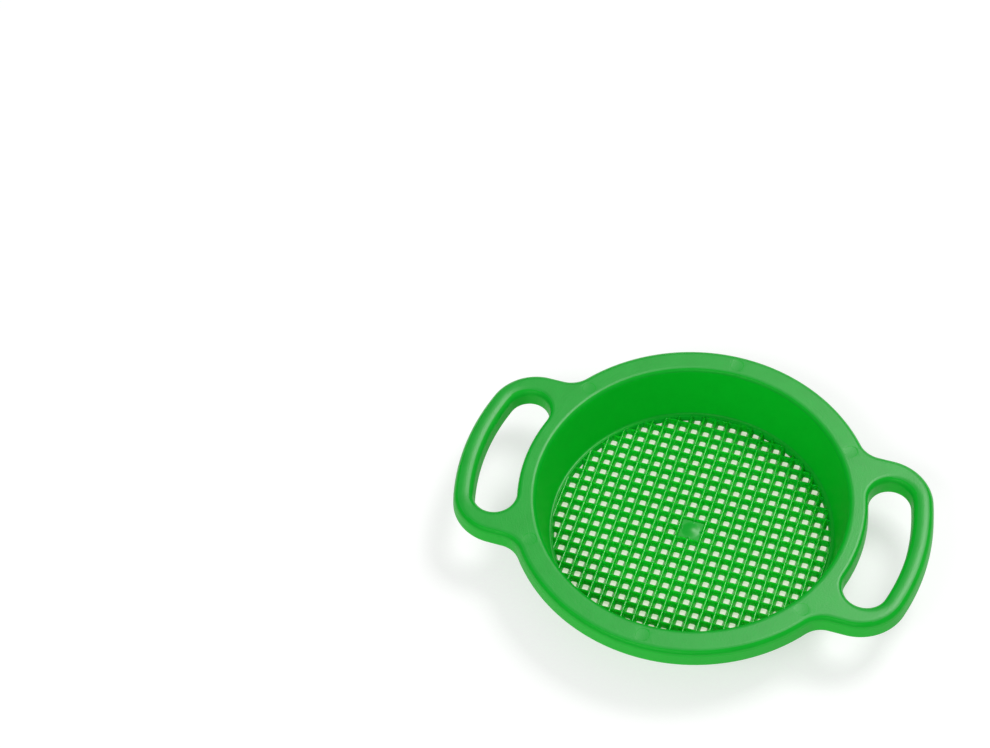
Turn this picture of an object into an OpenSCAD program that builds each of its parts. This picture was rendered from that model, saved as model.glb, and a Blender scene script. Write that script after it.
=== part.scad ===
// Round sand sieve with two loop handles, moulded in one material.
// Millimetres, +Z up. The origin is the centre of the resting face, and X runs through both handles.

/* [Mesh] */
// Distance between neighbouring bars of the mesh
mesh_pitch = 7; // [5:0.5:10]
// Width of a bar at its foot
bar_w = 3; // [2:0.25:4]
// Width of the crest along the top of a bar
crest_w = 0.8; // [0.4:0.1:1.4]
// Height of a bar
bar_h = 3; // [2:0.25:5]
// Diameter of the mesh
mesh_d = 156; // [140:1:162]
// Thickness of the solid plate in the middle
plate_t = 1.6; // [0.8:0.1:1.9]
// Length that the middle bars run over the plate
stub_l = 2.6; // [1:0.2:3.4]
// Diameter of the moulding gate's mark on the plate
gate_d = 7; // [3:0.2:8]
// Height of the gate's mark
gate_h = 0.5; // [0.2:0.1:1]

/* [Bowl] */
// Height of the sieve
height = 38.5; // [32:0.5:50]
// Thickness of the wall, the rim and the handles
shell_t = 2.4; // [1.6:0.1:2.8]
// Width of the ledge between the mesh and the wall
ledge_w = 2; // [1:0.25:4]
// Rounding between the ledge and the wall
ledge_r = 1.5; // [0.5:0.25:3]
// Inner diameter of the wall where the rounding of the mouth starts
mouth_d = 171; // [166:1:174]
// Height of the foot under the mesh
foot_h = 1.5; // [0.5:0.25:4]

/* [Rim] */
// Outer diameter of the rim, at the lower edge of its skirt
rim_d = 203; // [196:1:210]
// Depth of the skirt round the rim and the handles
skirt_h = 11; // [8:0.5:18]
// How far the skirt leans out from its shoulder to its lower edge
skirt_lean = 0.5; // [0:0.1:1]
// Rounding of the mouth, between the wall and the rim's top
mouth_r = 3.5; // [3:0.1:5]
// Rounding of the shoulder, between the rim's top and its skirt
shoulder_r = 4; // [3:0.1:5]
// Diameter of the ejector pin marks on the rim
pin_d = 7.6; // [4:0.2:8]
// Depth of the ejector pin marks
pin_h = 0.2; // [0.1:0.05:0.5]
// Angle of the four marks beside the handles, from the handles' axis
pin_angle = 35; // [25:1:60]

/* [Handles] */
// Reach from the end of one handle to the end of the other
span = 265; // [254:1:290]
// Width of a handle across its root
handle_w = 112; // [104:1:124]
// Width of the grip
grip_w = 12.2; // [10:0.2:16]
// Width of the strip of the rim between the mouth and the loop
strip_w = 11.5; // [10.5:0.25:14]
// Outer rounding of the handle's corners
corner_r = 28; // [20:1:32]
// Rounding where the handle grows out of the rim
root_r = 14; // [8:1:18]

/* [Hidden] */
$fn = 96;
rim_green = "#4DB85C";
bowl_green = "#0BA02A";
// How far a cutting shape passes the face that it cuts
cut = 1;
// Overlap of a rounded edge and the flat top beside it
lap = 1;
// Angle by which a rounded edge passes the plane that it is cut off at
over = 4;

// Heights
mesh_top = foot_h + bar_h;
wall_base = mesh_top + ledge_r;
skirt_low = height - skirt_h;
mouth_z = height - mouth_r;
wall_top = mouth_z - shell_t;
shoulder_z = height - shoulder_r;

// The wall leans out from the ledge to the mouth
ledge_in = mesh_d / 2 + ledge_w;
wall_rise = (mouth_d / 2 - ledge_in) / (mouth_z - mesh_top);
wall_lean = atan(wall_rise);
function wall_in(z) = ledge_in + (z - mesh_top) * wall_rise;
function wall_out(z) = wall_in(z) + shell_t / cos(wall_lean);
mouth_c = wall_in(mouth_z) + mouth_r / cos(wall_lean);

// Plan of the rim and the handles, round the centre of the bowl
rim_r = rim_d / 2;
edge_w = skirt_lean + shoulder_r;
grip_out = span / 2;
loop_in = mouth_d / 2 + strip_w;
loop_out = grip_out - grip_w;
loop_mid = (loop_in + loop_out) / 2;
loop_r = (loop_out - loop_in) / 2;
half_w = handle_w / 2;
corner_y = half_w - corner_r;
corner_x = sqrt(pow(grip_out - corner_r, 2) - pow(corner_y, 2));
// The grip ends on the line that holds the centres of the corner and of the loop's end
end_angle = atan2(corner_y, corner_x);
root_y = half_w + root_r;
root_x = sqrt(pow(rim_r + root_r, 2) - pow(root_y, 2));
root_angle = atan2(root_y, root_x);
side_l = corner_x - root_x;
// The rim's flat top is parted from the handles' arms on this circle
part_r = (mouth_c + loop_in - edge_w) / 2;
pin_ring = (mouth_c + rim_r - edge_w) / 2;
far = span;

// Mesh layout: bars stand on a grid that passes through the centre
bars_each_side = floor((mesh_d / 2 - crest_w) / mesh_pitch);
pocket_half = mesh_pitch - bar_w / 2;
flank = (bar_w - crest_w) / 2 / bar_h;
stub_end = pocket_half - stub_l;

// Section of a mesh bar, standing on the underside of the mesh
module bar_section() {
    polygon([[-bar_w / 2, 0], [bar_w / 2, 0], [crest_w / 2, bar_h], [-crest_w / 2, bar_h]]);
}

// A bar along X from x0 to x1
module bar(x0, x1) {
    translate([x0, 0, foot_h])
        rotate([90, 0, 90])
            linear_extrude(x1 - x0)
                bar_section();
}

// All the bars along X, with the middle one interrupted by the plate
module bars() {
    for (i = [-bars_each_side : bars_each_side]) {
        reach = sqrt(pow(mesh_d / 2, 2) - pow(i * mesh_pitch, 2)) + cut;
        if (i != 0) {
            translate([0, i * mesh_pitch, 0]) bar(-reach, reach);
        } else {
            bar(-reach, -stub_end);
            bar(stub_end, reach);
        }
    }
}

// The four ends of the middle bars that lie over the plate
module stubs() {
    for (a = [0 : 90 : 270]) {
        rotate(a) bar(stub_end, pocket_half + bar_w);
    }
}

// A square block whose sides follow the flanks of the bars round the plate
module pocket(h) {
    top_half = pocket_half + flank * h;
    intersection_for (a = [0, 90]) {
        rotate(a)
            translate([0, far / 2, foot_h])
                rotate([90, 0, 0])
                    linear_extrude(far)
                        polygon([[-pocket_half, 0], [pocket_half, 0], [top_half, h], [-top_half, h]]);
    }
}

module mesh_floor() {
    color(bowl_green)
        intersection() {
            union() {
                bars();
                rotate(90) bars();
            }
            cylinder(d = mesh_d, h = height);
        }
}

module centre_plate() {
    color(bowl_green)
        difference() {
            union() {
                pocket(plate_t);
                translate([0, 0, foot_h + plate_t]) cylinder(d = gate_d, h = gate_h);
            }
            stubs();
        }
}

// Space under the rim's surface and outside the bowl's, drawn in by d from both
module shell_space(d) {
    out = rim_r - d;
    shoulder_c = rim_r - edge_w;
    inset = d / cos(wall_lean);
    tangent_z = mouth_z + (mouth_r - d) * sin(wall_lean);
    polygon([
        [wall_in(-cut) + inset, -cut], [out, -cut], [out, skirt_low], [out - skirt_lean, shoulder_z],
        [shoulder_c, shoulder_z], [shoulder_c, height - d], [mouth_c, height - d], [mouth_c, mouth_z],
        [wall_in(tangent_z) + inset, tangent_z]
    ]);
    translate([mouth_c, mouth_z]) circle(mouth_r - d);
    translate([shoulder_c, shoulder_z]) circle(shoulder_r - d);
}

// Section of the rim, from where the wall ends below the mouth to the skirt's lower edge
module rim_section() {
    hollow_mid = (wall_out(skirt_low) + rim_r - shell_t) / 2;
    difference() {
        shell_space(0);
        shell_space(shell_t);
        translate([0, -far]) square([far, far + skirt_low]);
        square([hollow_mid, wall_top]);
    }
}

module base_ring() {
    ring_in = mesh_d / 2;
    corner_c = wall_in(wall_base) - ledge_r / cos(wall_lean);
    color(bowl_green)
        rotate_extrude()
            difference() {
                polygon([
                    [ring_in, 0], [wall_out(0), 0], [wall_out(wall_base), wall_base], [ring_in, wall_base]
                ]);
                translate([corner_c, wall_base]) circle(ledge_r);
                translate([0, mesh_top]) square([corner_c, far]);
            }
}

module side_wall() {
    color(bowl_green)
        rotate_extrude()
            polygon([
                [wall_in(wall_base), wall_base], [wall_out(wall_base), wall_base],
                [wall_out(wall_top), wall_top], [wall_in(wall_top), wall_top]
            ]);
}

// Sector of the plan between two angles
module sector(a0, a1) {
    polygon([[0, 0], far * [cos(a0), sin(a0)], far * [cos(a1), sin(a1)]]);
}

// Block over a sector, outside the circle where the rim is parted from the handles
module outer_block(a0, a1) {
    linear_extrude(height + cut)
        difference() {
            sector(a0, a1);
            circle(part_r);
        }
}

// Shallow round marks on the rim's top
module pin_marks() {
    for (a = [pin_angle, 90, 180 - pin_angle, 180 + pin_angle, 270, 360 - pin_angle]) {
        rotate(a) translate([pin_ring, 0, height - pin_h]) cylinder(d = pin_d, h = pin_h + cut);
    }
}

// Space under a rounded edge and its skirt, drawn in by d.
// The skirt's lower edge is at x = 0, and the flat top at negative x
module edge_space(d) {
    flat_end = -edge_w - lap - cut;
    polygon([
        [flat_end, 0], [-d, 0], [-d, skirt_low], [-d - skirt_lean, shoulder_z],
        [-edge_w, shoulder_z], [-edge_w, height - d], [flat_end, height - d]
    ]);
    translate([-edge_w, shoulder_z]) circle(shoulder_r - d);
}

module edge_section() {
    difference() {
        edge_space(0);
        edge_space(shell_t);
        translate([-far - edge_w - lap, -cut]) square([far, height + 2 * cut]);
        translate([-far, -far]) square([2 * far, far + skirt_low]);
    }
}

// Section of the flat top from x0 to x1
module top_section(x0, x1) {
    translate([x0, height - shell_t]) square([x1 - x0, shell_t]);
}

// The rounded edge along an arc from the X axis.
// The flat top is inside the arc, or outside it where hollow is true
module edge_arc(r, angle, hollow) {
    rotate_extrude(angle = angle)
        translate([r, 0])
            mirror([hollow ? 1 : 0, 0])
                edge_section();
}

// The strip of the rim between the mouth and a loop
module strip() {
    rotate(-end_angle)
        rotate_extrude(angle = 2 * end_angle) {
            top_section((mouth_c + part_r) / 2, loop_in - edge_w);
            translate([loop_in, 0]) edge_section();
        }
}

module rim() {
    color(rim_green)
        difference() {
            union() {
                difference() {
                    rotate_extrude() rim_section();
                    for (a = [0, 180]) {
                        rotate(a) outer_block(-root_angle, root_angle);
                    }
                }
                for (a = [0, 180]) {
                    rotate(a) strip();
                }
            }
            pin_marks();
        }
}

// The grip on the side of positive x
module grip() {
    rotate(-end_angle)
        rotate_extrude(angle = 2 * end_angle) {
            translate([loop_out, 0]) mirror([1, 0]) edge_section();
            top_section(loop_out + edge_w, grip_out - edge_w);
            translate([grip_out, 0]) edge_section();
        }
}

// Plan of an arm's flat top. It runs past the planes that the arm is cut off at
module arm_plan() {
    inset = edge_w + lap / 2;
    difference() {
        union() {
            polygon([
                [0, 0], [corner_x, 0], [corner_x, half_w - inset],
                [root_x, half_w - inset], [root_x, root_y], [0, root_y]
            ]);
            translate([corner_x, corner_y]) circle(corner_r - inset);
        }
        translate([root_x, root_y]) circle(root_r + inset);
        rotate(end_angle) translate([loop_mid, 0]) circle(loop_r + inset);
    }
}

// Outer edge of an arm: the handle's corner, its straight side and the rounding at its root
module arm_edge() {
    translate([corner_x, corner_y, 0]) {
        rotate(90) mirror([0, 1, 0]) edge_arc(corner_r, 90 - end_angle + over, false);
        translate([0, corner_r, 0])
            rotate([90, 0, -90])
                linear_extrude(side_l)
                    mirror([1, 0])
                        edge_section();
        translate([-side_l, corner_r + root_r, 0])
            rotate(-90)
                mirror([0, 1, 0])
                    edge_arc(root_r, 90 - root_angle + over, true);
    }
}

// Edge round the end of the loop
module loop_end() {
    rotate(end_angle)
        translate([loop_mid, 0, 0])
            rotate(-over)
                edge_arc(loop_r, 180 + 2 * over, true);
}

// The arm that joins the grip to the rim, on the side of positive x and y
module arm() {
    difference() {
        intersection() {
            union() {
                translate([0, 0, height - shell_t]) linear_extrude(shell_t) arm_plan();
                arm_edge();
                loop_end();
            }
            outer_block(end_angle, root_angle);
        }
        pin_marks();
    }
}

module left_grip() {
    color(rim_green) rotate(180) grip();
}

module left_front_arm() {
    color(rim_green) rotate(180) arm();
}

module left_back_arm() {
    color(rim_green) mirror([1, 0, 0]) arm();
}

module right_grip() {
    color(rim_green) grip();
}

module right_front_arm() {
    color(rim_green) mirror([0, 1, 0]) arm();
}

module right_back_arm() {
    color(rim_green) arm();
}

mesh_floor();
centre_plate();
base_ring();
side_wall();
rim();
left_grip();
left_front_arm();
left_back_arm();
right_grip();
right_front_arm();
right_back_arm();
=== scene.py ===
import math

import bmesh
import bpy
from mathutils import Matrix, Vector
from mathutils.geometry import delaunay_2d_cdt


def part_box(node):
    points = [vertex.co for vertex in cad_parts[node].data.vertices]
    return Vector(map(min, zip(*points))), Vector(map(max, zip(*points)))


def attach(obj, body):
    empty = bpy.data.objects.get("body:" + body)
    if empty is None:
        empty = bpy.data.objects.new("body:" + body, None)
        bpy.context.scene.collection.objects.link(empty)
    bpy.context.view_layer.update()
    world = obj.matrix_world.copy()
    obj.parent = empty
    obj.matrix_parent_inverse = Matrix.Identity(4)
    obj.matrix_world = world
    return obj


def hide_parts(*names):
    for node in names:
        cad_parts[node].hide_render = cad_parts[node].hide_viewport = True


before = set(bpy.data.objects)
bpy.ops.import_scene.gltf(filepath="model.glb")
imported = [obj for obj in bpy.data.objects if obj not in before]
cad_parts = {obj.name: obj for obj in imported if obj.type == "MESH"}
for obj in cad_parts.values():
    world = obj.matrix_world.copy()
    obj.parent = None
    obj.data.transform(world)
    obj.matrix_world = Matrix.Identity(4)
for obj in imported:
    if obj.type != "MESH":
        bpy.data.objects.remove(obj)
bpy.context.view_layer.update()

# Sizes are in millimetres, and meshes are scaled to metres as they are made
MM = 0.001


def corners(node):
    """Lowest and highest corner of a CAD node, in millimetres."""
    return [[value / MM for value in corner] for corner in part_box(node)]


# Sizes that the frame gives
mesh_low, mesh_high = corners("mesh_floor")
MESH_R = mesh_high[0]
FOOT_H = mesh_low[2]
MESH_TOP = mesh_high[2]
rim_low, rim_high = corners("rim")
RIM_R = rim_high[1]
HEIGHT = rim_high[2]
SKIRT_LOW = rim_low[2]
GRIP_OUT = corners("right_grip")[1][0]
SEAM_Z = corners("side_wall")[1][2]
WALL_FOOT_R = corners("base_ring")[1][0]

# Mesh. The bars along Y are a little wider than those along X. It reaches MESH_BITE into its ring
MESH_PITCH = 7.0
X_BAR_HALF = 1.85
Y_BAR_HALF = 1.9
CREST_HALF = 0.34
HOLE_CORNER = 0.6
CREST_CORNER = 0.15
MESH_BITE = 0.3
# Columns and rows of the four cells that the plate takes up
PLATE_CELLS = {(i, j) for i in (-1, 0) for j in (-1, 0)}

# Plate in the middle of the mesh, with the ends of the bars that run out on it and the gate's dome
PLATE_T = 1.6
PLATE_RECESS = 0.02
RIDGE_START = 4.6
RIDGE_HALF = 0.7
GATE_R = 5.6
GATE_H = 1.1

# Bowl
SHELL_T = 2.4
LEDGE_W = 2.0
LEDGE_R = 1.5
LEDGE_ROUND = 0.25
FOOT_ROUND = 0.4
RING_DRAFT = 1.2
RING_RECESS = 0.02

# Rim, with the marks of the ejector pins
MOUTH_R = 3.5
MOUTH_IN = 85.5
SKIRT_LEAN = 0.5
LIP_ROUND = 0.7
PIN_R = 3.8
PIN_SLOPE = 0.2
PIN_H = 0.12
PIN_ANGLES = (35, 90, 145, 215, 270, 325)

# Widths of the roundings between the flat top and the skirts, and their most height
RIM_SHOULDER = 4.0
GRIP_SHOULDER = 5.3
LOOP_SHOULDER = 5.7
STRIP_SHOULDER = 3.0
SHOULDER_H = 4.1

# Handles
HALF_W = 56.0
STRIP_W = 11.5
GRIP_W = 12.2
CORNER_R = 28.0
ROOT_R = 14.0

# How far up a face looks decides its finish: the rim is satin above the first value and matt or
# wall plastic below the second, and the bowl is polished above the third, on its ledge. The wall
# plastic is the plastic's own green made lighter with painted light.
SATIN_NORMAL_Z = 0.90
MATT_NORMAL_Z = 0.35
LEDGE_NORMAL_Z = 0.35

# Steps of the meshes: how many there are, and how many degrees lie between the points of arcs
TURN_STEPS = 192
CREST_STEPS = 4
PLATE_STEPS = 64
PLATE_CROWDING = 1.4
SHOULDER_STEPS = 14
UNDER_SHOULDER_STEPS = 6
LIP_STEPS = 4
ARC_DEGREES = 3.0
LONG_ARC_DEGREES = 2.0
LOOP_END_DEGREES = 5.0
PIN_DEGREES = 9.0
MOUTH_DEGREES = 7.0
UNDER_MOUTH_DEGREES = 20.0
LEDGE_DEGREES = 10.0
SMALL_ROUND_DEGREES = 30.0
# Nearer points are welded, sharper edges stay sharp, and smaller differences count as none
WELD = 0.002
SHARP_DEGREES = 40.0
EPSILON = 1e-6

# Plastic. The scales of its clouds and grain are per metre, and depths are in millimetres
PLASTIC_IOR = 1.5
SPREAD_COLOUR = (0.15, 1.0, 0.2)
CLOUDS = {"Scale": 90.0, "Detail": 4.0, "Roughness": 0.6}
CLOUD_RANGE = (0.3, 0.7)
GRAIN = {"Detail": 2.0, "Roughness": 0.5}
FINE_GRAIN = 900.0
FINE_DEPTH = 0.006
MATT_DEPTH = 0.012
SATIN_GRAIN = 1100.0
SATIN_DEPTH = 0.07
STREAKS = {"Scale": 1.0, "Detail": 2.0, "Roughness": 0.6}
STREAK_DEPTH = 0.06
STREAK_LENGTH = 12.0
STREAK_SCALE = 1800.0

# Stage, in metres. The floor's glow rises to FAR_GLOW times its strength over the distances GLOW_RISE
FLOOR_HALF = 40.0
PAPER = (0.85, 0.85, 0.85, 1)
SEEN_PAPER = (0.5, 0.5, 0.5, 1)
GLOW = (0.56, 0.56, 0.56, 1)
# Painted shade and painted green light: under the mesh the floor's glow is dimmer and greener, as if lit
# through the plastic above it
PAINTED_LIGHT_UNDER_MESH = (0.50, 0.56, 0.41, 1)
FAR_GLOW = 1.5
GLOW_RISE = (0.8, 4.0)
ROOM_LIGHT = 0.40
LAMP_DISTANCE = 2.0

# Camera, fitted to the photo. The lens and the sensor are in millimetres
SENSOR_W = 36
LENS = 87.2
CAMERA_AT = (0.19335, -0.71728, 1.13641)
CAMERA_FORWARD = (-0.23556, 0.55545, -0.79748)
CAMERA_UP = (-0.22982, 0.76553, 0.60095)

# The wall leans out from the ledge to the mouth
ledge_in = MESH_R + LEDGE_W
mouth_z = HEIGHT - MOUTH_R
wall_rise = (MOUTH_IN - ledge_in) / (mouth_z - MESH_TOP)
wall_lean = math.atan(wall_rise)
mouth_c = MOUTH_IN + MOUTH_R / math.cos(wall_lean)


def wall_in(z):
    """Radius of the wall's inner face at a height."""
    return ledge_in + (z - MESH_TOP) * wall_rise


def wall_out(z):
    """Radius of the wall's outer face at a height."""
    return wall_in(z) + SHELL_T / math.cos(wall_lean)


# Plan of the rim and the handles
loop_in = MOUTH_IN + STRIP_W
loop_out = GRIP_OUT - GRIP_W
loop_mid = (loop_in + loop_out) / 2
loop_r = (loop_out - loop_in) / 2
corner_y = HALF_W - CORNER_R
corner_x = math.sqrt((GRIP_OUT - CORNER_R) ** 2 - corner_y ** 2)
end_angle = math.degrees(math.atan2(corner_y, corner_x))
root_y = HALF_W + ROOT_R
root_x = math.sqrt((RIM_R + ROOT_R) ** 2 - root_y ** 2)
root_angle = math.degrees(math.atan2(root_y, root_x))
pin_ring = (mouth_c + RIM_R - RIM_SHOULDER - SKIRT_LEAN) / 2


def polar(r, degrees):
    angle = math.radians(degrees)
    return Vector((r * math.cos(angle), r * math.sin(angle)))


def arc(centre, r, start, end, step=ARC_DEGREES):
    """Points on an arc, both ends included, angles in degrees."""
    count = max(1, math.ceil(abs(end - start) / step - EPSILON))
    return [Vector(centre) + polar(r, start + (end - start) * i / count) for i in range(count + 1)]


def smooth(share):
    """Goes from 0 to 1 without a kink at either end."""
    share = min(max(share, 0), 1)
    return share * share * (3 - 2 * share)


class Skin:
    """Points in millimetres and faces of one piece, welded where points meet."""

    def __init__(self):
        self.points = []
        self.faces = []

    def ring(self, points):
        """Adds points and returns their numbers."""
        start = len(self.points)
        self.points.extend(tuple(p) for p in points)
        return list(range(start, len(self.points)))

    def circle(self, r, z):
        """Adds a circle of points about the Z axis and returns their numbers."""
        return self.ring((*polar(r, 360 * i / TURN_STEPS), z) for i in range(TURN_STEPS))

    def bridge(self, a, b, closed=True):
        """Quads between two rings of as many points."""
        count = len(a)
        for i in range(count if closed else count - 1):
            j = (i + 1) % count
            self.faces.append((a[i], a[j], b[j], b[i]))

    def fan(self, ring, tip):
        """Triangles from a ring to one point."""
        count = len(ring)
        for i in range(count):
            self.faces.append((ring[i], ring[(i + 1) % count], tip))

    def turn(self, profile):
        """Turns a closed outline of (r, z) points about the Z axis."""
        rings = [self.circle(r, z) for r, z in profile]
        for a, b in zip(rings, rings[1:] + rings[:1]):
            self.bridge(a, b)

    def sweep(self, contour, section):
        """Moves section(r) of (out, z) points along a closed contour of (point, normal, r)."""
        rows = [self.ring((*(p + n * out), z) for out, z in section(r)) for p, n, r in contour]
        for a, b in zip(rows, rows[1:] + rows[:1]):
            self.bridge(a, b, closed=False)

    def mesh(self, name):
        """A mesh in metres, with its points welded and its faces turned outwards."""
        data = bpy.data.meshes.new(name)
        data.from_pydata([Vector(p) * MM for p in self.points], [], self.faces)
        bm = bmesh.new()
        bm.from_mesh(data)
        bmesh.ops.remove_doubles(bm, verts=bm.verts, dist=WELD * MM)
        bmesh.ops.dissolve_degenerate(bm, edges=bm.edges, dist=WELD * MM)
        bmesh.ops.recalc_face_normals(bm, faces=bm.faces)
        bm.to_mesh(data)
        bm.free()
        return data


def make_piece(name, data, materials, nodes):
    """Shows a mesh as a smooth-shaded piece of the sieve in place of CAD nodes."""
    piece = bpy.data.objects.new(name, data)
    bpy.context.scene.collection.objects.link(piece)
    for material in materials:
        data.materials.append(material)
    data.shade_smooth()
    data.set_sharp_from_angle(angle=math.radians(SHARP_DEGREES))
    normals = piece.modifiers.new("normals", "WEIGHTED_NORMAL")
    normals.keep_sharp = True
    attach(piece, "root")
    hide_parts(*nodes)


# Materials
def link(tree, out_node, out_name, in_node, in_name):
    tree.links.new(out_node.outputs[out_name], in_node.inputs[in_name])


def add_node(tree, kind, **values):
    """A new node with values set on its sockets. A socket's name has _ in place of spaces."""
    node = tree.nodes.new(kind)
    for name, value in values.items():
        node.inputs[name.replace("_", " ")].default_value = value
    return node


def streak_noise(tree, place):
    """Noise drawn out along circles about the Z axis, as a turned mould leaves it."""
    def vector_math(operation, source, output, value=None):
        node = tree.nodes.new("ShaderNodeVectorMath")
        node.operation = operation
        link(tree, source, output, node, 0)
        if value is not None:
            node.inputs[1].default_value = value
        return node

    flat = vector_math("MULTIPLY", place, "Object", (1, 1, 0))
    way = vector_math("NORMALIZE", flat, "Vector")
    way = vector_math("MULTIPLY", way, "Vector", (STREAK_LENGTH, STREAK_LENGTH, 0))
    radius = vector_math("LENGTH", flat, "Vector")
    scaled = add_node(tree, "ShaderNodeMapRange", To_Max=STREAK_SCALE)
    scaled.clamp = False
    link(tree, radius, "Value", scaled, "Value")
    rise = tree.nodes.new("ShaderNodeCombineXYZ")
    link(tree, scaled, "Result", rise, "Z")
    total = vector_math("ADD", way, "Vector")
    link(tree, rise, "Vector", total, 1)
    noise = add_node(tree, "ShaderNodeTexNoise", **STREAKS)
    link(tree, total, "Vector", noise, "Vector")
    return noise


def plastic(
        name, colour, shade, roughness, gloss, spread=0, grain=FINE_GRAIN, grain_depth=FINE_DEPTH,
        streak_depth=0):
    """Dyed plastic, slightly mottled, with its mould's grain. Light spreads in it over spread mm."""
    material = bpy.data.materials.new(name)
    material.use_nodes = True
    tree = material.node_tree
    shader = tree.nodes["Principled BSDF"]
    shader.inputs["IOR"].default_value = PLASTIC_IOR
    shader.inputs["Specular IOR Level"].default_value = gloss
    shader.inputs["Subsurface Weight"].default_value = 1 if spread else 0
    shader.inputs["Subsurface Radius"].default_value = SPREAD_COLOUR
    shader.inputs["Subsurface Scale"].default_value = spread * MM
    place = tree.nodes.new("ShaderNodeTexCoord")

    clouds = add_node(tree, "ShaderNodeTexNoise", **CLOUDS)
    link(tree, place, "Object", clouds, "Vector")
    tint = tree.nodes.new("ShaderNodeValToRGB")
    for stop, position, stop_colour in zip(tint.color_ramp.elements, CLOUD_RANGE, (shade, colour)):
        stop.position = position
        stop.color = (*stop_colour, 1)
    link(tree, clouds, "Fac", tint, "Fac")
    link(tree, tint, "Color", shader, "Base Color")

    polish = add_node(tree, "ShaderNodeMapRange", To_Min=roughness[0], To_Max=roughness[1])
    link(tree, clouds, "Fac", polish, "Value")
    link(tree, polish, "Result", shader, "Roughness")

    speckle = add_node(tree, "ShaderNodeTexNoise", Scale=grain, **GRAIN)
    link(tree, place, "Object", speckle, "Vector")
    bump = add_node(tree, "ShaderNodeBump", Strength=1.0, Distance=grain_depth * MM)
    link(tree, speckle, "Fac", bump, "Height")
    if streak_depth:
        streaks = add_node(tree, "ShaderNodeBump", Strength=1.0, Distance=streak_depth * MM)
        link(tree, streak_noise(tree, place), "Fac", streaks, "Height")
        link(tree, bump, "Normal", streaks, "Normal")
        bump = streaks
    link(tree, bump, "Normal", shader, "Normal")
    return material


mesh_plastic = plastic(
    "mesh_plastic", colour=(0.001, 0.50, 0.018), shade=(0.001, 0.47, 0.016),
    roughness=(0.24, 0.32), gloss=1.0, spread=5.0)
polished_plastic = plastic(
    "polished_plastic", colour=(0.001, 0.44, 0.020), shade=(0.001, 0.41, 0.018),
    roughness=(0.28, 0.34), gloss=0.4)
plate_plastic = plastic(
    "plate_plastic", colour=(0.001, 0.43, 0.025), shade=(0.001, 0.40, 0.022),
    roughness=(0.38, 0.44), gloss=0.7)
matt_plastic = plastic(
    "matt_plastic", colour=(0.001, 0.50, 0.022), shade=(0.001, 0.47, 0.020),
    roughness=(0.46, 0.54), gloss=0.28, grain_depth=MATT_DEPTH)
# Wall plastic: the plastic's own green, made lighter with painted light that stands in for light passing
# through the plastic into the bowl
wall_plastic_with_painted_light = plastic(
    "wall_plastic_with_painted_light", colour=(0.001, 0.56, 0.020), shade=(0.001, 0.53, 0.018),
    roughness=(0.46, 0.54), gloss=0.12, grain_depth=MATT_DEPTH)
satin_plastic = plastic(
    "satin_plastic", colour=(0.003, 0.44, 0.030), shade=(0.002, 0.40, 0.025),
    roughness=(0.42, 0.50), gloss=0.95, grain=SATIN_GRAIN, grain_depth=SATIN_DEPTH,
    streak_depth=STREAK_DEPTH)
BOWL_FINISHES = [wall_plastic_with_painted_light, polished_plastic]
RIM_FINISHES = [polished_plastic, satin_plastic, matt_plastic, wall_plastic_with_painted_light]


# Mesh of the sieve: square funnels between bars with round crests
def square_ring(centre, half_x, half_y, corner, z):
    """Points of a rectangle with round corners."""
    points = []
    for turn, x, y in ((0, 1, 1), (90, -1, 1), (180, -1, -1), (270, 1, -1)):
        knee = Vector(centre) + Vector((x * (half_x - corner), y * (half_y - corner)))
        points += [(*p, z) for p in arc(knee, corner, turn, turn + 90, SMALL_ROUND_DEGREES)]
    return points


def bar_profile():
    """(distance from the middle of a Y bar, from that of an X bar, z), from the crest to the foot."""
    flank = (X_BAR_HALF - CREST_HALF) / (MESH_TOP - FOOT_H)
    crest_r = CREST_HALF / (math.hypot(1, flank) - flank)
    crest_z = MESH_TOP - crest_r
    tangent = 90 - math.degrees(math.atan(flank))
    points = []
    for i in range(1, CREST_STEPS + 1):
        angle = math.radians(tangent * i / CREST_STEPS)
        inset = crest_r * math.sin(angle)
        points.append((inset, inset, crest_z + crest_r * math.cos(angle)))
    points.append((Y_BAR_HALF, X_BAR_HALF, FOOT_H))
    return points


def funnel(skin, centre, half):
    """One cell, from the middle of its bars' crests round to the middle of their undersides."""
    square = [(1, 1), (-1, 1), (-1, -1), (1, -1)]
    top = skin.ring((centre[0] + half * x, centre[1] + half * y, MESH_TOP) for x, y in square)
    low = skin.ring((centre[0] + half * x, centre[1] + half * y, FOOT_H) for x, y in square)
    rings = []
    profile = bar_profile()
    for i, (inset_x, inset_y, z) in enumerate(profile):
        corner = CREST_CORNER + (HOLE_CORNER - CREST_CORNER) * i / (len(profile) - 1)
        rings.append(skin.ring(square_ring(centre, half - inset_x, half - inset_y, corner, z)))
    for a, b in zip(rings, rings[1:]):
        skin.bridge(a, b)
    per_corner = len(rings[0]) // len(square)
    for outer, ring in ((top, rings[0]), (low, rings[-1])):
        for k in range(len(square)):
            own = ring[k * per_corner:(k + 1) * per_corner]
            after = ring[(k + 1) * per_corner % len(ring)]
            for a, b in zip(own, own[1:]):
                skin.faces.append((outer[k], a, b))
            skin.faces.append((outer[k], own[-1], after, outer[(k + 1) % len(square)]))


def lattice_cells():
    """Cells that the mesh's circle touches, apart from those that the plate takes up."""
    reach = math.ceil(MESH_R / MESH_PITCH)
    cells = []
    for i in range(-reach, reach):
        for j in range(-reach, reach):
            near = math.hypot(min(abs(i), abs(i + 1)), min(abs(j), abs(j + 1))) * MESH_PITCH
            if near < MESH_R + MESH_BITE and (i, j) not in PLATE_CELLS:
                cells.append((i, j))
    return cells


def side(skin, i, j, di, dj):
    """Closes the outer side of a cell that has no neighbour there."""
    x, y = (i + 0.5 + di / 2) * MESH_PITCH, (j + 0.5 + dj / 2) * MESH_PITCH
    half = MESH_PITCH / 2
    a, b = (x - dj * half, y - di * half), (x + dj * half, y + di * half)
    skin.faces.append(tuple(skin.ring([(*a, FOOT_H), (*b, FOOT_H), (*b, MESH_TOP), (*a, MESH_TOP)])))


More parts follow.
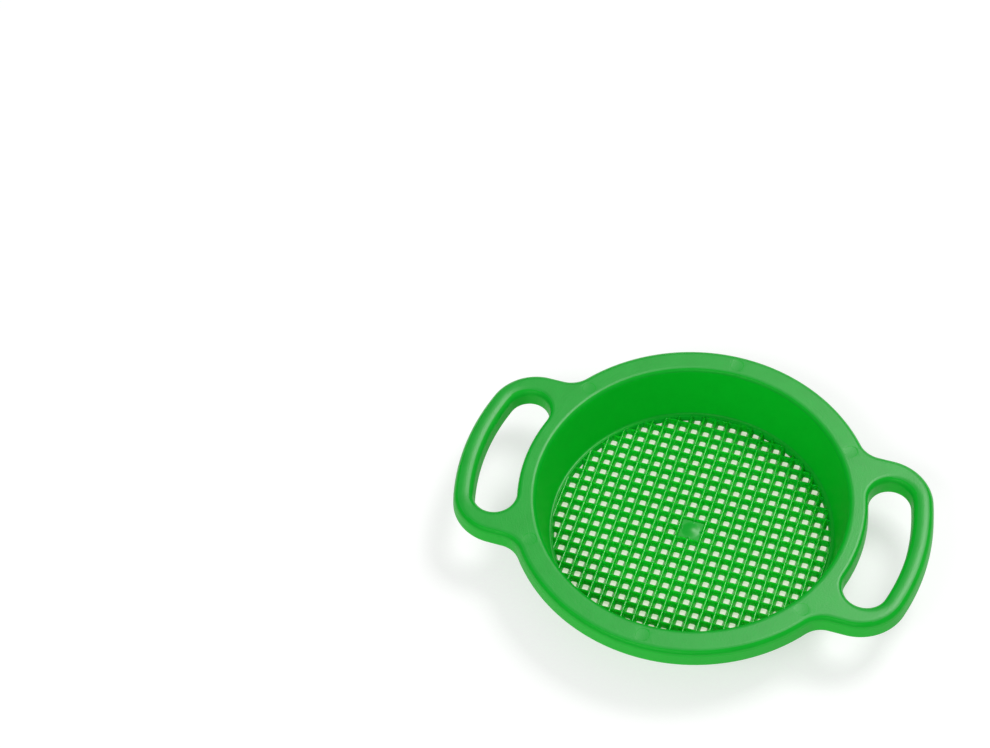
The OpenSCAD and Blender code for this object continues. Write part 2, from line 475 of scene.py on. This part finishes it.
def middle_funnel(skin):
    """The large cell round the plate. Each of its sides has a middle point, where two cells meet."""
    half = MESH_PITCH
    square = [(1, 0), (1, 1), (0, 1), (-1, 1), (-1, 0), (-1, -1), (0, -1), (1, -1)]
    levels = [(0, 0, MESH_TOP)] + bar_profile() + [(0, 0, FOOT_H)]
    rings = []
    for inset_x, inset_y, z in levels:
        rings.append(skin.ring(((half - inset_x) * x, (half - inset_y) * y, z) for x, y in square))
    for a, b in zip(rings, rings[1:]):
        skin.bridge(a, b)


def lattice():
    """The bars as a closed block of cells, before it is cut round."""
    skin = Skin()
    cells = lattice_cells()
    taken = PLATE_CELLS.union(cells)
    for i, j in cells:
        funnel(skin, ((i + 0.5) * MESH_PITCH, (j + 0.5) * MESH_PITCH), MESH_PITCH / 2)
        for di, dj in ((1, 0), (-1, 0), (0, 1), (0, -1)):
            if (i + di, j + dj) not in taken:
                side(skin, i, j, di, dj)
    middle_funnel(skin)
    return skin.mesh("sieve_mesh")


def mesh_disc():
    """The round block that the mesh is cut to, which reaches a little into the ring round it."""
    skin = Skin()
    rings = [skin.circle(MESH_R + MESH_BITE, z) for z in (0, HEIGHT)]
    skin.bridge(*rings)
    for ring in rings:
        skin.faces.append(tuple(ring))
    return skin.mesh("mesh_disc")


def cut_to(data, tool):
    """The mesh that is left of data inside the tool's mesh."""
    things = []
    for mesh in (data, tool):
        thing = bpy.data.objects.new(mesh.name, mesh)
        bpy.context.scene.collection.objects.link(thing)
        things.append(thing)
    cut = things[0].modifiers.new("cut", "BOOLEAN")
    cut.operation = "INTERSECT"
    cut.solver = "MANIFOLD"
    cut.object = things[1]
    graph = bpy.context.evaluated_depsgraph_get()
    result = bpy.data.meshes.new_from_object(things[0].evaluated_get(graph))
    result.materials.clear()
    for thing in things:
        bpy.data.objects.remove(thing)
    return result


def plate_top(x, y):
    """Height of the plate: flat, with the gate's dome and the ridges that run out on it."""
    base = FOOT_H + PLATE_T
    lift = GATE_H * max(0, 1 - (x * x + y * y) / GATE_R ** 2) ** 2
    for along, across in ((abs(x), y), (abs(y), x)):
        run = smooth((along - RIDGE_START) / (MESH_PITCH - RIDGE_START))
        bump = max(0, 1 - (across / RIDGE_HALF) ** 2) ** 2
        lift = max(lift, (MESH_TOP - base) * run * bump)
    return base + lift


def plate_mesh():
    """The solid middle of the mesh. Its sides lie inside the bars round it."""
    skin = Skin()
    shares = [2 * i / PLATE_STEPS - 1 for i in range(PLATE_STEPS + 1)]
    steps = [math.copysign(MESH_PITCH * abs(share) ** PLATE_CROWDING, share) for share in shares]
    rows = [skin.ring((x, y, plate_top(x, y)) for x in steps) for y in steps]
    for a, b in zip(rows, rows[1:]):
        skin.bridge(a, b, closed=False)
    right = [row[-1] for row in rows[1:]]
    left = [row[0] for row in rows[-2:0:-1]]
    edge = rows[0] + right + rows[-1][-2::-1] + left
    low = skin.ring((*skin.points[i][:2], FOOT_H + PLATE_RECESS) for i in edge)
    skin.bridge(edge, low)
    skin.faces.append(tuple(low))
    return skin.mesh("centre_plate_skin")


# Bowl: foot, ledge and wall
def bowl_outline():
    """(r, z) points round the bowl's section: foot, wall, ledge and the ring that carries the mesh."""
    lean = math.degrees(wall_lean)
    ledge_z = MESH_TOP + LEDGE_R
    ledge_c = (wall_in(ledge_z) - LEDGE_R / math.cos(wall_lean), ledge_z)
    foot_in = (MESH_R + FOOT_ROUND, FOOT_ROUND)
    foot_out = (WALL_FOOT_R - FOOT_ROUND, FOOT_ROUND)
    brink = (MESH_R + LEDGE_ROUND, MESH_TOP - LEDGE_ROUND)
    ring_z = FOOT_H + RING_RECESS
    outline = []
    outline += arc(foot_in, FOOT_ROUND, 180, 270, SMALL_ROUND_DEGREES)
    outline += arc(foot_out, FOOT_ROUND, 270, 360 - lean, SMALL_ROUND_DEGREES)
    outline += [Vector((wall_out(SEAM_Z), SEAM_Z)), Vector((wall_in(SEAM_Z), SEAM_Z))]
    outline += arc(ledge_c, LEDGE_R, -lean, -90, LEDGE_DEGREES)
    outline += arc(brink, LEDGE_ROUND, 90, 180, SMALL_ROUND_DEGREES)
    outline += [Vector((MESH_R - RING_DRAFT, ring_z)), Vector((MESH_R, ring_z))]
    return outline


def bowl_mesh():
    skin = Skin()
    skin.turn(bowl_outline())
    data = skin.mesh("bowl")
    polished = BOWL_FINISHES.index(polished_plastic)
    for face in data.polygons:
        if face.normal.z > LEDGE_NORMAL_Z:
            face.material_index = polished
    return data


# Rim and handles: one skin with a rounded edge swept along its outlines
def bow(centre, width, height, start, end, count):
    """Points on an arc of an ellipse, both ends included, angles in degrees."""
    angles = [math.radians(start + (end - start) * i / count) for i in range(count + 1)]
    return [Vector(centre) + Vector((width * math.cos(a), height * math.sin(a))) for a in angles]


def edge_section(width):
    """(out, z) points from the flat top over the shoulder and the skirt back to the flat underside."""
    height = min(width, SHOULDER_H)
    shoulder = (-SKIRT_LEAN - width, HEIGHT - height)
    lean = math.degrees(math.atan(SKIRT_LEAN / (HEIGHT - height - SKIRT_LOW)))
    lip_z = SKIRT_LOW + LIP_ROUND
    lip_out, lip_in = (-LIP_ROUND, lip_z), (-SHELL_T + LIP_ROUND, lip_z)
    section = bow(shoulder, width, height, 90, lean, SHOULDER_STEPS)
    section += bow(lip_out, LIP_ROUND, LIP_ROUND, lean, -90, LIP_STEPS)
    section += bow(lip_in, LIP_ROUND, LIP_ROUND, 270, 180 + lean, LIP_STEPS)
    section += bow(shoulder, width - SHELL_T, height - SHELL_T, lean, 90, UNDER_SHOULDER_STEPS)
    return section


def mouth_section(_):
    """(r, z) points from the flat top over the mouth's rounding to the wall's seam and back below.

    The rounding is the same all round, so the contour's own value isn't used.
    """
    lean = math.degrees(wall_lean)
    middle = (mouth_c, mouth_z)
    section = arc(middle, MOUTH_R, 90, 180 - lean, MOUTH_DEGREES)
    section += [Vector((wall_in(SEAM_Z), SEAM_Z)), Vector((wall_out(SEAM_Z), SEAM_Z))]
    section += arc(middle, MOUTH_R - SHELL_T, 180 - lean, 90, UNDER_MOUTH_DEGREES)
    return section


def stations(points, centre, sign, first_r, last_r):
    """(point, normal, shoulder) along an arc. Its free side is outside it, or inside it with sign -1."""
    result = []
    for i, p in enumerate(points):
        share = smooth(i / (len(points) - 1))
        normal = (p - Vector(centre)).normalized() * sign
        result.append((p, normal, first_r + (last_r - first_r) * share))
    return result


def mirrored(contour, x, y):
    return [(Vector((p.x * x, p.y * y)), Vector((n.x * x, n.y * y)), r) for p, n, r in contour]


def outer_contour():
    """The outer edge of the grips, the arms and the rim: a quarter of it, mirrored."""
    corner = (corner_x, corner_y)
    root = (root_x, root_y)
    grip_arc = arc((0, 0), GRIP_OUT, 0, end_angle, LONG_ARC_DEGREES)
    corner_arc = arc(corner, CORNER_R, end_angle, 90)
    root_arc = arc(root, ROOT_R, 270, 180 + root_angle)
    rim_arc = arc((0, 0), RIM_R, root_angle, 90, LONG_ARC_DEGREES)
    quarter = stations(grip_arc, (0, 0), 1, GRIP_SHOULDER, GRIP_SHOULDER)
    quarter += stations(corner_arc, corner, 1, GRIP_SHOULDER, RIM_SHOULDER)[1:]
    quarter += stations(root_arc, root, -1, RIM_SHOULDER, RIM_SHOULDER)
    quarter += stations(rim_arc, (0, 0), 1, RIM_SHOULDER, RIM_SHOULDER)[1:]
    back = quarter[::-1]
    return (
        mirrored(quarter, 1, 1)[:-1] + mirrored(back, -1, 1)[:-1]
        + mirrored(quarter, -1, -1)[:-1] + mirrored(back, 1, -1)[:-1])


def loop_contour(x_sign):
    """The edge of a handle's opening: half of it, mirrored, on the right or, with -1, on the left."""
    end = polar(loop_mid, end_angle)
    outer_arc = arc((0, 0), loop_out, 0, end_angle, LONG_ARC_DEGREES)
    end_arc = arc(end, loop_r, end_angle, end_angle + 180, LOOP_END_DEGREES)
    inner_arc = arc((0, 0), loop_in, end_angle, 0, LONG_ARC_DEGREES)
    half = stations(outer_arc, (0, 0), -1, LOOP_SHOULDER, LOOP_SHOULDER)
    half += stations(end_arc, end, -1, LOOP_SHOULDER, STRIP_SHOULDER)[1:]
    half += stations(inner_arc, (0, 0), 1, STRIP_SHOULDER, STRIP_SHOULDER)[1:]
    whole = half + mirrored(half[::-1], 1, -1)[1:-1]
    return mirrored(whole, x_sign, 1)


def inside(point, outline):
    """Whether a point lies in a closed outline."""
    x, y = point
    hit = False
    for a, b in zip(outline, outline[1:] + outline[:1]):
        if (a[1] > y) != (b[1] > y) and x < a[0] + (y - a[1]) * (b[0] - a[0]) / (b[1] - a[1]):
            hit = not hit
    return hit


def flat_faces(edge, holes, islands):
    """Triangles of the flat between an edge and its holes, and those of the round islands in it."""
    points = []
    lines = []
    for outline in [edge] + holes + islands:
        start = len(points)
        count = len(outline)
        points.extend(Vector(p) for p in outline)
        lines.extend((start + i, start + (i + 1) % count) for i in range(count))
    whole_hull = 0
    verts, _, triangles, *_ = delaunay_2d_cdt(points, lines, [], whole_hull, EPSILON)
    flat = []
    island = []
    for triangle in triangles:
        middle = sum((verts[i] for i in triangle), Vector((0, 0))) / 3
        if any(inside(middle, outline) for outline in islands):
            island.append(triangle)
        elif inside(middle, edge) and not any(inside(middle, hole) for hole in holes):
            flat.append(triangle)
    return verts, flat, island


def pin_mark(skin, middle, outline):
    """The shallow dent that an ejector pin leaves in the flat top."""
    shrink = 1 - PIN_SLOPE / PIN_R
    brink = skin.ring((*p, HEIGHT) for p in outline)
    bottom = skin.ring((*(middle + (p - middle) * shrink), HEIGHT - PIN_H) for p in outline)
    skin.bridge(brink, bottom)
    skin.fan(bottom, skin.ring([(*middle, HEIGHT - PIN_H)])[0])


def finish_rim(data):
    """Makes the flat tops satin, the skirts matt and the side in the bowl wall plastic, which has
    painted light in its colour.
    """
    satin, matt, wall = (
        RIM_FINISHES.index(finish) for finish in (satin_plastic, matt_plastic, wall_plastic_with_painted_light))
    for face in data.polygons:
        if face.normal.z > SATIN_NORMAL_Z:
            face.material_index = satin
        elif face.normal.z < MATT_NORMAL_Z:
            in_bowl = face.center.xy.length < mouth_c * MM
            face.material_index = wall if in_bowl else matt


def rim_mesh():
    skin = Skin()
    contours = [outer_contour(), loop_contour(1), loop_contour(-1)]
    for contour in contours:
        skin.sweep(contour, edge_section)
    mouth = [polar(1, 360 * i / TURN_STEPS) for i in range(TURN_STEPS)]
    skin.sweep([(Vector((0, 0)), ray, MOUTH_R) for ray in mouth], mouth_section)

    flats = [[p - n * (SKIRT_LEAN + r) for p, n, r in contour] for contour in contours]
    mouth_edge = [ray * mouth_c for ray in mouth]
    pins = [arc(polar(pin_ring, a), PIN_R, 0, 360 - PIN_DEGREES, PIN_DEGREES) for a in PIN_ANGLES]
    verts, flat, island = flat_faces(flats[0], flats[1:] + [mouth_edge], pins)
    top = skin.ring((*p, HEIGHT) for p in verts)
    low = skin.ring((*p, HEIGHT - SHELL_T) for p in verts)
    for triangle in flat:
        skin.faces.append(tuple(top[i] for i in triangle))
    for triangle in flat + island:
        skin.faces.append(tuple(low[i] for i in triangle))
    for angle, pin in zip(PIN_ANGLES, pins):
        pin_mark(skin, polar(pin_ring, angle), pin)
    data = skin.mesh("rim_and_handles")
    finish_rim(data)
    return data


make_piece(
    "sieve_mesh", cut_to(lattice(), mesh_disc()), [mesh_plastic], ["mesh_floor"])
make_piece("centre_plate_skin", plate_mesh(), [plate_plastic], ["centre_plate"])
make_piece("bowl", bowl_mesh(), BOWL_FINISHES, ["base_ring", "side_wall"])
make_piece("rim_and_handles", rim_mesh(), RIM_FINISHES, [
    "rim", "left_grip", "left_front_arm", "left_back_arm",
    "right_grip", "right_front_arm", "right_back_arm"])


# Stage
def background_share(tree):
    """1 for rays that see the white background: from the camera, in gloss and through clear pieces."""
    path = tree.nodes.new("ShaderNodeLightPath")
    first = tree.nodes.new("ShaderNodeMath")
    first.operation = "MAXIMUM"
    second = tree.nodes.new("ShaderNodeMath")
    second.operation = "MAXIMUM"
    link(tree, path, "Is Camera Ray", first, 0)
    link(tree, path, "Is Glossy Ray", first, 1)
    link(tree, first, 0, second, 0)
    link(tree, path, "Is Transmission Ray", second, 1)
    return second


def floor_material():
    """White paper that keeps its shadow.

    To the camera and in gloss it also glows, more far away, so that it is white there. Under the mesh
    the glow is a little dimmer and greener: painted shade and painted green light from the plastic
    above.
    """
    material = bpy.data.materials.new("floor")
    material.use_nodes = True
    tree = material.node_tree
    tree.nodes.clear()
    output = tree.nodes.new("ShaderNodeOutputMaterial")
    place = tree.nodes.new("ShaderNodeTexCoord")
    distance = tree.nodes.new("ShaderNodeVectorMath")
    distance.operation = "LENGTH"
    link(tree, place, "Object", distance, 0)
    # Mask from the painted shade and painted green light under the mesh to the plain glow outside it
    outside = add_node(
        tree, "ShaderNodeMapRange",
        From_Min=(MESH_R - LEDGE_W) * MM, From_Max=(MESH_R + LEDGE_W) * MM)
    link(tree, distance, "Value", outside, "Value")
    light = tree.nodes.new("ShaderNodeValToRGB")
    light.color_ramp.elements[0].color = PAINTED_LIGHT_UNDER_MESH
    light.color_ramp.elements[1].color = GLOW
    link(tree, outside, "Result", light, "Fac")
    paper = add_node(tree, "ShaderNodeBsdfDiffuse", Color=PAPER)
    seen = add_node(tree, "ShaderNodeBsdfDiffuse", Color=SEEN_PAPER)
    glow = tree.nodes.new("ShaderNodeEmission")
    link(tree, light, "Color", glow, "Color")
    far = add_node(
        tree, "ShaderNodeMapRange",
        From_Min=GLOW_RISE[0], From_Max=GLOW_RISE[1], To_Min=1.0, To_Max=FAR_GLOW)
    link(tree, distance, "Value", far, "Value")
    link(tree, far, "Result", glow, "Strength")
    both = tree.nodes.new("ShaderNodeAddShader")
    mix = tree.nodes.new("ShaderNodeMixShader")
    link(tree, seen, 0, both, 0)
    link(tree, glow, 0, both, 1)
    link(tree, background_share(tree), 0, mix, 0)
    link(tree, paper, 0, mix, 1)
    link(tree, both, 0, mix, 2)
    link(tree, mix, 0, output, "Surface")
    return material


def make_floor():
    data = bpy.data.meshes.new("floor")
    square = [(-1, -1), (1, -1), (1, 1), (-1, 1)]
    data.from_pydata([(x * FLOOR_HALF, y * FLOOR_HALF, 0) for x, y in square], [], [(0, 1, 2, 3)])
    data.materials.append(floor_material())
    floor = bpy.data.objects.new("floor", data)
    bpy.context.scene.collection.objects.link(floor)


def make_world():
    """An even room that is white to the camera, lights the sieve and doesn't show in its gloss."""
    world = bpy.data.worlds.new("studio")
    bpy.context.scene.world = world
    world.use_nodes = True
    tree = world.node_tree
    background = tree.nodes["Background"]
    background.inputs["Color"].default_value = (1, 1, 1, 1)
    strength = add_node(tree, "ShaderNodeMapRange", To_Min=ROOM_LIGHT, To_Max=1.0)
    link(tree, background_share(tree), 0, strength, "Value")
    link(tree, strength, "Result", background, "Strength")
    world.cycles_visibility.glossy = False


def aim(thing, forward, up):
    """Turns a camera or lamp to look along forward."""
    forward = Vector(forward).normalized()
    right = forward.cross(Vector(up)).normalized()
    above = right.cross(forward)
    thing.rotation_euler = Matrix((right, above, -forward)).transposed().to_euler()


def make_softbox(name, toward, size, power, in_gloss=True):
    """A soft lamp in a direction from the object, aimed back at it. Its power is in watts."""
    lamp = bpy.data.lights.new(name, "AREA")
    lamp.shape = "RECTANGLE"
    lamp.size, lamp.size_y = size
    lamp.energy = power
    thing = bpy.data.objects.new(name, lamp)
    bpy.context.scene.collection.objects.link(thing)
    thing.location = Vector(toward).normalized() * LAMP_DISTANCE
    thing.visible_glossy = in_gloss
    aim(thing, -thing.location, (0, 0, 1))


def make_camera():
    camera = bpy.data.cameras.new("camera")
    camera.sensor_width = SENSOR_W
    camera.lens = LENS
    thing = bpy.data.objects.new("camera", camera)
    bpy.context.scene.collection.objects.link(thing)
    thing.location = CAMERA_AT
    aim(thing, CAMERA_FORWARD, CAMERA_UP)
    bpy.context.scene.camera = thing


make_floor()
make_world()
make_softbox("back_softbox", toward=(0.28, 0.46, 0.84), size=(0.8, 0.7), power=18.5)
make_softbox("front_fill", toward=(-0.15, -0.66, 0.72), size=(1.6, 0.6), power=15.0, in_gloss=False)
make_softbox("front_strip", toward=(-0.1, -0.75, 0.66), size=(1.6, 0.1), power=1.0)
make_camera()
bpy.context.scene.view_settings.view_transform = "Standard"
